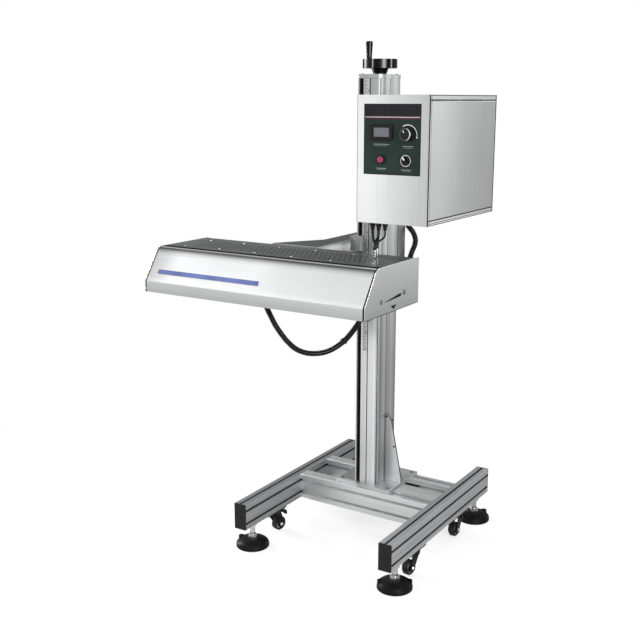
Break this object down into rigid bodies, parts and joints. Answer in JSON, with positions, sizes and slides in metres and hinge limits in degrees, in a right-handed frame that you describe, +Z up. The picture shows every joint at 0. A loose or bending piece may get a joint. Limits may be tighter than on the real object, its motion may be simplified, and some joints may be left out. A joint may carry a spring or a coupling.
{
  "type": "induction cap sealer",
  "caption": "Floor-standing induction cap sealer: a wedge-shaped sealing head and a power box on a column, raised by a handwheel, on a slotted profile base with feet and casters.",
  "frame": {"origin": "on the floor, under the middle of the machine's outline", "axes": "+Z up, +X along the sealing head to the operator's right, -Y towards the operator"},
  "size_m": [0.746, 0.826, 1.482],
  "materials": {
    "anodised_aluminium": "satin",
    "brushed_stainless": "brushed",
    "dark_sheet": "satin",
    "black_plastic": "gloss",
    "caster_tread": "matte",
    "cable_jacket": "matte",
    "bright_zinc": "bright",
    "bronze": "satin",
    "copper_winding": "satin",
    "ferrite": "matte",
    "insulating_plate": "matte",
    "overlay_film": "satin",
    "display_window": "gloss",
    "red_plastic": "gloss",
    "scale_strip": "satin",
    "white_nylon": "matte",
    "heat_sink": "satin"
  },
  "bodies": {
    "base": {"left_rail": "anodised_aluminium", "right_rail": "anodised_aluminium", "cross_beams": "anodised_aluminium", "rail_end_caps": "black_plastic", "column": "anodised_aluminium", "column_foot_plate": "brushed_stainless", "column_gusset": "brushed_stainless", "column_top_plate": "anodised_aluminium", "height_scale": "scale_strip", "screw_bearings": "bronze", "foot_lock_nuts": "bright_zinc", "caster_plates": "black_plastic"},
    "drive_wheel": {"lead_screw": "brushed_stainless", "handwheel": "black_plastic"},
    "crank": {"crank_handle": "black_plastic"},
    "lift": {"carriage_side_plate": "brushed_stainless", "carriage_front_bracket": "brushed_stainless", "carriage_rear_block": "anodised_aluminium", "guide_pads": "white_nylon", "lead_nut": "bronze", "head_arm": "brushed_stainless", "box_bracket": "brushed_stainless", "head_front_cover": "brushed_stainless", "head_top_cover": "dark_sheet", "head_end_plates": "brushed_stainless", "head_back_panel": "brushed_stainless", "head_bottom_plate": "insulating_plate", "induction_coil": "copper_winding", "ferrite_cores": "ferrite", "box_front_panel": "brushed_stainless", "box_top_cover": "brushed_stainless", "box_bottom_tray": "brushed_stainless", "box_side_panels": "brushed_stainless", "box_rear_panel": "brushed_stainless", "control_overlay": "overlay_film", "meter_bezel": "black_plastic", "meter_window": "display_window", "control_bezels": "bright_zinc", "power_module": "heat_sink", "cable_glands": "black_plastic", "head_cable_fittings": "bright_zinc", "cable_left": "cable_jacket", "cable_middle": "cable_jacket", "cable_right": "cable_jacket", "conduit": "cable_jacket"},
    "knob": {"power_knob": "black_plastic"},
    "selector": {"mode_selector": "black_plastic"},
    "button": {"red_button": "red_plastic"},
    "front_left_caster": {"front_left_caster_fork": "black_plastic"},
    "front_left_wheel": {"front_left_caster_wheel": "caster_tread"},
    "front_left_levelling_foot": {"front_left_foot": "black_plastic"},
    "front_right_caster": {"front_right_caster_fork": "black_plastic"},
    "front_right_wheel": {"front_right_caster_wheel": "caster_tread"},
    "front_right_levelling_foot": {"front_right_foot": "black_plastic"},
    "rear_left_caster": {"rear_left_caster_fork": "black_plastic"},
    "rear_left_wheel": {"rear_left_caster_wheel": "caster_tread"},
    "rear_left_levelling_foot": {"rear_left_foot": "black_plastic"},
    "rear_right_caster": {"rear_right_caster_fork": "black_plastic"},
    "rear_right_wheel": {"rear_right_caster_wheel": "caster_tread"},
    "rear_right_levelling_foot": {"rear_right_foot": "black_plastic"}
  },
  "joints": [
    {"name": "handwheel_turn", "type": "hinge", "parent": "base", "child": "drive_wheel", "pos_m": [0.056, 0.13, 1.4], "axis": [0, 0, 1], "range_deg": [-11880, 5400]},
    {"name": "head_lift", "type": "slide", "parent": "base", "child": "lift", "axis": [0, 0, 1], "range_m": [-0.33, 0.15]},
    {"name": "crank_spin", "type": "hinge", "parent": "drive_wheel", "child": "crank", "pos_m": [0.02509, 0.12172, 1.46], "axis": [0, 0, 1], "continuous": true},
    {"name": "power_knob_turn", "type": "hinge", "parent": "lift", "child": "knob", "pos_m": [0.316, -0.188, 1.236], "axis": [0, -1, 0], "range_deg": [-150, 150]},
    {"name": "mode_selector_turn", "type": "hinge", "parent": "lift", "child": "selector", "pos_m": [0.312, -0.188, 1.171], "axis": [0, -1, 0], "range_deg": [-90, 0]},
    {"name": "red_button_press", "type": "slide", "parent": "lift", "child": "button", "axis": [0, 1, 0], "range_m": [0, 0.003], "stiffness_N_per_m": 600},
    {"name": "front_left_caster_swivel", "type": "hinge", "parent": "base", "child": "front_left_caster", "pos_m": [-0.188, -0.077, 0.066], "axis": [0, 0, 1], "continuous": true},
    {"name": "front_left_wheel_roll", "type": "hinge", "parent": "front_left_caster", "child": "front_left_wheel", "pos_m": [-0.18231, -0.05575, 0.025], "axis": [0.9659, -0.2588, 0], "continuous": true},
    {"name": "front_right_caster_swivel", "type": "hinge", "parent": "base", "child": "front_right_caster", "pos_m": [0.3, -0.077, 0.066], "axis": [0, 0, 1], "continuous": true},
    {"name": "front_right_wheel_roll", "type": "hinge", "parent": "front_right_caster", "child": "front_right_wheel", "pos_m": [0.29847, -0.09895, 0.025], "axis": [-0.9976, 0.0698, 0], "continuous": true},
    {"name": "rear_left_caster_swivel", "type": "hinge", "parent": "base", "child": "rear_left_caster", "pos_m": [-0.188, 0.221, 0.066], "axis": [0, 0, 1], "continuous": true},
    {"name": "rear_left_wheel_roll", "type": "hinge", "parent": "rear_left_caster", "child": "rear_left_wheel", "pos_m": [-0.16633, 0.21718, 0.025], "axis": [-0.1736, -0.9848, 0], "continuous": true},
    {"name": "rear_right_caster_swivel", "type": "hinge", "parent": "base", "child": "rear_right_caster", "pos_m": [0.3, 0.221, 0.066], "axis": [0, 0, 1], "continuous": true},
    {"name": "rear_right_wheel_roll", "type": "hinge", "parent": "rear_right_caster", "child": "rear_right_wheel", "pos_m": [0.30115, 0.19903, 0.025], "axis": [-0.9986, -0.0523, 0], "continuous": true},
    {"name": "front_left_foot_screw", "type": "slide", "parent": "base", "child": "front_left_levelling_foot", "axis": [0, 0, 1], "range_m": [-0.015, 0.02]},
    {"name": "front_right_foot_screw", "type": "slide", "parent": "base", "child": "front_right_levelling_foot", "axis": [0, 0, 1], "range_m": [-0.015, 0.02]},
    {"name": "rear_left_foot_screw", "type": "slide", "parent": "base", "child": "rear_left_levelling_foot", "axis": [0, 0, 1], "range_m": [-0.015, 0.02]},
    {"name": "rear_right_foot_screw", "type": "slide", "parent": "base", "child": "rear_right_levelling_foot", "axis": [0, 0, 1], "range_m": [-0.015, 0.02]}
  ],
  "couplings": [
    {"joint": "handwheel_turn", "follows": "head_lift", "rad_per_m": 628.32}
  ]
}
